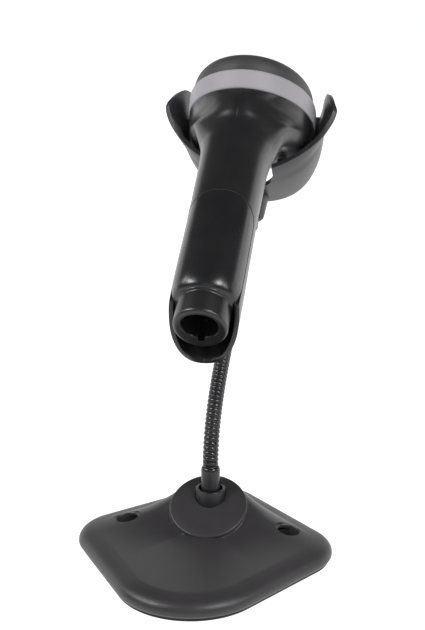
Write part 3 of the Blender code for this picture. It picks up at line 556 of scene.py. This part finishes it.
# The handle's open end: height on its axis and slope towards the front
MOUTH_HEIGHT = 9.1
MOUTH_SLOPE = 0.64
SEAM_GAP = 0.02 * MM
# Grip cover: the sections it lies between, its side edges' place and its lift off the shell
GRIP_START, GRIP_END = 2.0, 6.0
GRIP_SIDE = -3.3
GRIP_LIFT = 0.12
GRIP_WALL = 1.9 * MM
BOSS_TOP = 11.2
BOSS_RADIUS = 13.4
UP = Vector((0.0, math.cos(HANDLE_ANGLE), math.sin(HANDLE_ANGLE)))
AHEAD = Vector((0.0, math.sin(HANDLE_ANGLE), -math.cos(HANDLE_ANGLE)))


def handle_spot(front, height):
    return HANDLE_END / MM + UP * height + AHEAD * front


def body_rows():
    """Rear y, z, front y, z, half width, place of the widest point, two powers, waist."""
    rows = []
    for height, half_width, back, front in HANDLE_SECTIONS:
        rear, nose = handle_spot(-back, height), handle_spot(front, height)
        rows.append((rear.y, rear.z, nose.y, nose.z, half_width, 0.5, 2.3, 2.4, 1.0))
    last = len(HEAD_SECTIONS) - 1
    for k, section in enumerate(HEAD_SECTIONS):
        share = k / last
        rows.append((*section, 0.5 + 0.1 * share, 2.3 - 0.3 * share, 2.4 + 0.6 * share,
                     1.0 - share ** 2))
    return rows


BODY_ROWS = body_rows()
BODY_END = len(BODY_ROWS) - 1


def body_point(t, angle, inset=0.0):
    """A point of the skin in the scanner's frame, in mm; angle -90 is the back, 90 the front."""
    (ry, rz, fy, fz, half_width, widest, rear_power, front_power,
     waist) = spline(BODY_ROWS, t)
    rear, front = Vector((0.0, ry, rz)), Vector((0.0, fy, fz))
    run = (front - rear).normalized() * inset
    rear, front = rear + run, front - run
    middle = rear.lerp(front, widest)
    ahead, aside = math.sin(angle), math.cos(angle)
    power = front_power if ahead >= 0.0 else rear_power
    reach = front - middle if ahead >= 0.0 else middle - rear
    spread = min(max((ahead + 0.97) / 0.85, 0.0), 1.0)
    spread = spread * spread * (3.0 - 2.0 * spread)
    narrow = waist * (1.0 - spread) * max(half_width - WAIST_HALF_WIDTH, 0.0)
    return (middle + reach * signed_power(ahead, 2.0 / power)
            + X_AXIS * (half_width - narrow - inset) * signed_power(aside, 2.0 / power))


def mouth_height(point):
    """How far a point lies above the oblique mouth's plane, along the handle."""
    d = point - HANDLE_END / MM
    return d.dot(UP) - MOUTH_HEIGHT + MOUTH_SLOPE * d.dot(AHEAD)


def mouth_start(angle, inset=0.0):
    return crossing(0.0, GRIP_END, lambda t: mouth_height(body_point(t, angle, inset)) < 0.0)[1]


def skin_rings(angles, rows, end, inset=0.0, start=None):
    """Rings of the skin from the mouth, or from start, to a section number."""
    starts = [mouth_start(a, inset) if start is None else start for a in angles]
    return [[body_point(s + (end - s) * j / rows, a, inset) * MM for s, a in zip(starts, angles)]
            for j in range(rows + 1)]


def grip_rings(columns=64, rows=60, bend=16, side_steps=24):
    """The grip cover: an arched patch of the back whose lower end turns in to the boss."""
    outline = sorted((y / MM, z / MM) for y, z in tongue_outline(0.3)[:-2])

    def over(point):
        """How far a point lies above the arch."""
        d = point - HANDLE_END / MM
        front, height = d.dot(AHEAD), d.dot(UP)
        for (y0, z0), (y1, z1) in zip(outline, outline[1:]):
            if front <= y1:
                return height - (z0 + (z1 - z0) * (front - y0) / (y1 - y0))
        return 1.0

    def side_angle(t):
        """The angle at which the skin meets the cover's side edge."""
        def behind(angle):
            return (body_point(t, angle, GRIP_LIFT) - HANDLE_END / MM).dot(AHEAD) < GRIP_SIDE
        return crossing(-0.25 * TURN, 0.0, behind)[0]

    span = GRIP_END - GRIP_START
    sides = [side_angle(GRIP_START + span * k / side_steps) for k in range(side_steps + 1)]

    def on_skin(across, t):
        """A point of the cover; across runs from -1 at its left edge to 1 at its right."""
        place = (t - GRIP_START) / span * side_steps
        k = min(int(place), side_steps - 1)
        edge = sides[k] + (sides[k + 1] - sides[k]) * (place - k)
        return body_point(t, -0.25 * TURN + across * (edge + 0.25 * TURN), GRIP_LIFT)

    lines = []
    for c in range(columns + 1):
        across = -1.0 + 2.0 * c / columns
        top = crossing(GRIP_START, GRIP_END, lambda t: over(on_skin(across, t)) < 0.0)[0]
        edge = on_skin(across, GRIP_START)
        axis = handle_spot(0.0, (edge - HANDLE_END / MM).dot(UP))
        boss = handle_spot(0.0, BOSS_TOP) + (edge - axis).normalized() * BOSS_RADIUS
        drop = (edge - boss).dot(UP)
        line = []
        for j in range(bend):
            turn = 0.25 * TURN * j / bend
            out = math.sin(turn) ** 0.8
            line.append(boss + (edge - UP * drop - boss) * out + UP * drop * (1 - math.cos(turn)))
        line += [on_skin(across, GRIP_START + (top - GRIP_START) * j / rows)
                 for j in range(rows + 1)]
        lines.append([point * MM for point in line])
    return lines


def tongue_outline(inset):
    """The grip cover's side outline in handle coordinates: an arch over the handle's back."""
    edge, high, corner = -3.0 - inset, 66.0 - inset, 5.0
    return [(y * MM, z * MM) for y, z in (
        (-30.0, high + 0.55 * 30.0), (edge - corner, high + 0.55 * corner),
        (edge - 0.75 * corner, high + 0.40 * corner), (edge - 0.55 * corner, high + 0.22 * corner),
        (edge - 0.3 * corner, high - 0.12 * corner), (edge - 0.1 * corner, high - 0.5 * corner),
        (edge, high - corner), (edge, -30.0), (-30.0, -30.0))]


def build_body():
    window = block("window", (-21.4, 30.0, -19.3), (21.4, 50.0, -7.1), matrix=SCANNER, bevel=1.8,
                   segments=5)
    finger_slot = block("finger_slot", (-6.3, 9.0, 88.0), (6.3, 30.0, 126.0), matrix=HANDLE,
                        bevel=1.2, segments=4)
    tongue = prism("tongue", tongue_outline(0.0), -30 * MM, 30 * MM, "X", matrix=HANDLE)
    steps = 56
    for side, sign in (("left", -1.0), ("right", 1.0)):
        angles = [-0.25 * TURN + 0.5 * TURN * k / steps for k in range(steps + 1)]
        rings = skin_rings(angles, 96, BODY_END)
        for ring in rings:
            for point in ring:
                point.x = sign * max(point.x, SEAM_GAP)
        half = loft(f"shell_{side}", rings, SATIN, SCANNER, closed=False)
        face_outwards(half, SCANNER @ (Vector((0.0, -35.0, -60.0)) * MM))
        solidify(half, SHELL_WALL)
        soften(half, 0.16, 55.0, 2)
        for tool in (window, finger_slot, tongue):
            combine(half, tool, keep=True)
        finish_piece(half, "scanner", f"body_{side}")
    for tool in (window, finger_slot, tongue):
        bpy.data.objects.remove(tool, do_unlink=True)

    grip = loft("grip_shell", grip_rings(), GRIP, SCANNER, closed=False)
    face_outwards(grip, HANDLE @ (Vector((0.0, 0.0, 45.0)) * MM))
    solidify(grip, GRIP_WALL)
    soften(grip, 0.18, 55.0, 2)
    finish_piece(grip, "scanner", "grip_cover")


DOME_FOOT = 5.8
DOME_HEIGHT = 12.6


def head_ring(inset, height, count=160):
    """The head's outline at its widest section, drawn in by an inset."""
    ry, _, fy, _, half_width, widest, rear_power, front_power, _ = BODY_ROWS[-1]
    rear, front = ry + inset, fy - inset
    middle = rear + (front - rear) * widest
    ring = []
    for k in range(count):
        angle = TURN * k / count
        ahead, aside = math.sin(angle), math.cos(angle)
        power = front_power if ahead >= 0.0 else rear_power
        reach = front - middle if ahead >= 0.0 else middle - rear
        ring.append(Vector(((half_width - inset) * signed_power(aside, 2.0 / power),
                            middle + reach * signed_power(ahead, 2.0 / power), height)) * MM)
    return ring


def build_head():
    # Inset and height round the band's section
    outside = [(0.5, -5.5), (0.05, -5.42), (-0.3, -5.2), (-0.55, -4.85), (-0.68, -4.4),
               (-0.7, -3.8), (-0.7, 0.0), (-0.7, 3.8), (-0.68, 4.4), (-0.55, 4.85), (-0.3, 5.2),
               (0.05, 5.42), (0.5, 5.5), (2.3, 5.5), (2.3, -5.5)]
    band = loft("head_band", [head_ring(inset, z) for inset, z in outside], BAND, SCANNER,
                wrap=True)
    finish_piece(band, "scanner", "bumper_band")
    # Inset and share of the dome's height
    dome = [(0.9, 0.0), (1.3, 0.36), (2.6, 0.63), (5.4, 0.84), (10.0, 0.95), (16.0, 1.0)]
    rings = []
    for k in range(41):
        inset, share = spline(dome, k / 8.0)
        rings.append(head_ring(inset, DOME_FOOT + share * DOME_HEIGHT))
    cover = loft("head_cover", rings, COVER, SCANNER, caps=(False, True))
    solidify(cover, 2.0 * MM)
    combine(cover, block("status_slot", (-6.3, 19.7, 8.0), (6.3, 23.3, 22.0), matrix=SCANNER,
                         bevel=0.6))
    finish_piece(cover, "scanner", "top_cover")


def build_socket():
    """The round boss with the socket's opening, its key notch and three ribs."""
    profile = [(0, 22.0), (14.2, 22.0), (14.2, 11.3), (14.12, 11.0), (13.9, 10.75), (13.45, 10.45),
               (13.25, 10.1), (13.2, 9.6), (13.2, -0.9), (13.12, -1.5), (12.85, -2.05),
               (12.4, -2.5), (11.8, -2.74), (11.0, -2.8), (0, -2.8)]
    boss = turned("socket_boss", profile, SATIN, HANDLE, 112)
    for angle in (50.0, 90.0, 130.0):
        turn = HANDLE @ Matrix.Rotation(math.radians(angle), 4, "Z")
        combine(boss, block("rib", (10.0, -0.6, 7.0), (15.4, 0.6, 21.5), matrix=turn, bevel=0.2),
                "UNION")
    mouth = []
    for z, grow in ((-5.0, 1.0), (-2.9, 0.45), (-2.6, 0.2), (-2.1, 0.0), (30.0, 0.0)):
        ring = []
        for k in range(96):
            angle = TURN * k / 96
            ring.append(Vector(((8.8 + grow) * signed_power(math.cos(angle), 2.0 / 2.2),
                                -2.0 + (7.8 + grow) * signed_power(math.sin(angle), 2.0 / 2.2),
                                z)) * MM)
        mouth.append(ring)
    combine(boss, loft("mouth", mouth, matrix=HANDLE))
    combine(boss, block("key", (-1.6, 3.0, -5.0), (1.6, 8.2, 9.0), matrix=HANDLE))
    finish_piece(boss, "scanner", "socket_housing")


# ---------------------------------------------------------------- cup

# Distance from the head's centre, half width, squareness, lip's half width and height
CUP_SECTIONS = [(4.0, 47.8, 1.65, 46.8, 3.0), (9.0, 44.4, 1.9, 45.0, 9.0),
                (15.0, 41.4, 2.15, 43.2, 14.0), (22.0, 40.0, 2.4, 41.8, 17.0),
                (32.0, 38.8, 2.5, 39.8, 18.5), (42.0, 37.2, 2.5, 38.0, 17.0),
                (48.5, 35.4, 2.5, 36.2, 15.0)]
CUP_FLOOR = -38.0


def cup_profile(y, reach, power, lip_x, lip_z):
    """One section of the cup: ears that lean outwards over a rounded trough."""
    half = []
    for k in range(6):
        share = k / 6.0
        half.append((lip_x + (reach - lip_x) * share ** 0.7, lip_z * (1.0 - share)))
    for k in range(37):
        angle = 0.25 * TURN * k / 36
        half.append((reach * math.cos(angle) ** (2.0 / power),
                     CUP_FLOOR * math.sin(angle) ** (2.0 / power)))
    half[-1] = (0.0, CUP_FLOOR)
    points = half + [(-x, z) for x, z in reversed(half[:-1])]
    return [Vector((x, y, z)) * MM for x, z in points]


def build_cup():
    rows = [cup_profile(*spline(CUP_SECTIONS, 6.0 * k / 48)) for k in range(49)]
    cup = loft("cup_shell", rows, CUP, SCANNER, closed=False)
    face_outwards(cup, SCANNER @ (Vector((0.0, 25.0, 0.0)) * MM))
    solidify(cup, 2.6 * MM)
    soften(cup, 0.7, 50.0, 4)
    slot = arc((0.0, 12.5), 14.5, 0.0, 180.0, 40) + [(-14.5, -20.0), (14.5, -20.0)]
    combine(cup, prism("slot", [(x * MM, y * MM) for x, y in slot], -60 * MM, -20 * MM, "Z",
                       matrix=SCANNER))
    wall = loft("wall", [[Vector((p.x * 0.965, y * MM, p.z * 0.965)) for p in rows[-1]]
                         for y in (46.1, 48.3)], matrix=SCANNER)
    combine(wall, block("opening", (-24.2, 40.0, -31.8), (24.2, 60.0, 20.0), matrix=SCANNER,
                        bevel=2.0))
    combine(cup, wall, "UNION")
    boss = turned("boss", [(0, 9), (7.4, 9), (7.8, 9.15), (8.05, 9.6), (9.6, 25), (0, 25)],
                  matrix=aligned(NECK_TOP, NECK_ALONG))
    combine(cup, boss, "UNION")
    combine(cup, turned("ferrule_socket", [(0, -5), (5.7, -5), (5.7, 15.8), (0, 15.8)],
                        matrix=aligned(NECK_TOP, NECK_ALONG)))
    finish_piece(cup, "cup", "stand_cup")


# ---------------------------------------------------------------- CAD pieces that stay

# Material, edge width in mm, nodes
KEPT = [(STEEL, 0.2, ("base_weight", "base_plate", "neck_lock_nut", "body_screw_1",
                      "body_screw_2", "body_screw_3", "trigger_pin", "engine_bracket")),
        (RUBBER, 0.3, ("cup_pad_left", "cup_pad_right")),
        (GLOSS, 0.25, ("window_bezel", "cable_socket", "trigger_switch", "processor_chip",
                       "beeper", "scan_engine")),
        (SATIN, 1.0, ("trigger",)),
        (BRASS, 0.0, ("socket_contacts",)),
        (WHITE, 0.2, ("switch_plunger",)),
        (BOARD, 0.1, ("handle_board", "main_board")),
        (STEEL, 0.0, ("trigger_spring",)),
        (PANE, 0.15, ("scan_window",)),
        (DIFFUSER, 0.2, ("status_lens", "led_left", "led_right")),
        (LENS, 0.3, ("engine_lens", "aimer_lens"))]


def dress_kept():
    """Materials and softened edges for the frame's nodes that no finer piece stands for."""
    for finish, width, names in KEPT:
        for name in names:
            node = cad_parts[name]
            for slot in node.material_slots:
                slot.link = "OBJECT"
                slot.material = finish
            if width:
                edge = node.modifiers.new("soft_edges", "BEVEL")
                edge.width = width * MM
                edge.segments = 3
                edge.limit_method = "ANGLE"
                edge.angle_limit = math.radians(35.0)
                edge.harden_normals = True


# ---------------------------------------------------------------- studio

# Name, place, target, size, power
PANELS = [("back_panel", (0.0, 1.8, 0.50), (0.0, 0.0, 0.15), (3.6, 0.9), 10.0),
          ("left_panel", (-1.35, 0.65, 0.30), (0.0, 0.05, 0.15), (1.0, 0.6), 2.4),
          ("right_panel", (1.35, 0.75, 0.30), (0.0, 0.05, 0.15), (1.0, 0.6), 2.4),
          ("key_left", (-0.84, -0.46, 1.02), (0.0, 0.1, 0.18), (0.40, 0.34), 9.0),
          ("key_right", (0.72, -0.46, 1.02), (0.0, 0.1, 0.18), (0.40, 0.34), 9.0),
          ("edge_left", (-1.00, -0.03, 0.80), (0.0, 0.0, 0.14), (0.22, 0.40), 2.4),
          ("edge_right", (1.03, -0.26, 0.72), (0.0, 0.0, 0.14), (0.22, 0.40), 2.4),
          ("front_panel", (0.2, -1.6, 0.9), (0.0, 0.05, 0.12), (1.0, 0.6), 2.0)]
FLOOR_REACH = 40.0
FLOOR_DEPTH, FLOOR_TOP = -0.02, -0.0002
FILL = 0.10
CAMERA_PLACE = (0.1150, -0.6206, 0.3216)
CAMERA_TURN = (math.radians(72.5), 0.0, math.radians(10.16))


def panel(name, spot, aim, size, power):
    light = bpy.data.lights.new(name, "AREA")
    light.shape = "RECTANGLE"
    light.size, light.size_y = size
    light.energy = power
    made = bpy.data.objects.new(name, light)
    made.location = spot
    made.rotation_euler = (Vector(aim) - Vector(spot)).to_track_quat("-Z", "Y").to_euler()
    made.visible_camera = False
    bpy.context.scene.collection.objects.link(made)


def build_studio():
    """Floor, surroundings, panels and camera; the surroundings are white only to the camera."""
    floor_finish, tree, shader, where = new_material("studio_floor")
    shader.inputs["Base Color"].default_value = (0.35, 0.35, 0.35, 1.0)
    shader.inputs["Emission Color"].default_value = (1.0, 1.0, 1.0, 1.0)
    shader.inputs["Emission Strength"].default_value = 0.96
    tree.links.new(remap(tree, noise(tree, where, 3.0), 0.3, 0.7, 0.68, 0.74),
                   shader.inputs["Roughness"])
    corners = [(x * FLOOR_REACH, y * FLOOR_REACH) for x, y in ((-1, -1), (1, -1), (1, 1), (-1, 1))]
    prism("floor", corners, FLOOR_DEPTH, FLOOR_TOP, "Z", floor_finish)
    world = bpy.data.worlds.new("studio")
    world.use_nodes = True
    tree = world.node_tree
    sky = tree.nodes["Background"]
    sky.inputs["Color"].default_value = (1.0, 1.0, 1.0, 1.0)
    seen = tree.nodes.new("ShaderNodeLightPath").outputs["Is Camera Ray"]
    tree.links.new(remap(tree, seen, 0.0, 1.0, FILL, 1.0), sky.inputs["Strength"])
    bpy.context.scene.world = world
    for spec in PANELS:
        panel(*spec)

    lens = bpy.data.cameras.new("camera")
    lens.lens = 79.9
    lens.sensor_width = 36.0
    camera = bpy.data.objects.new("camera", lens)
    camera.location = CAMERA_PLACE
    camera.rotation_euler = CAMERA_TURN
    bpy.context.scene.collection.objects.link(camera)
    bpy.context.scene.camera = camera
    bpy.context.scene.view_settings.view_transform = "Standard"


build_base()
build_gooseneck()
build_body()
build_head()
build_socket()
build_cup()
dress_kept()
build_studio()
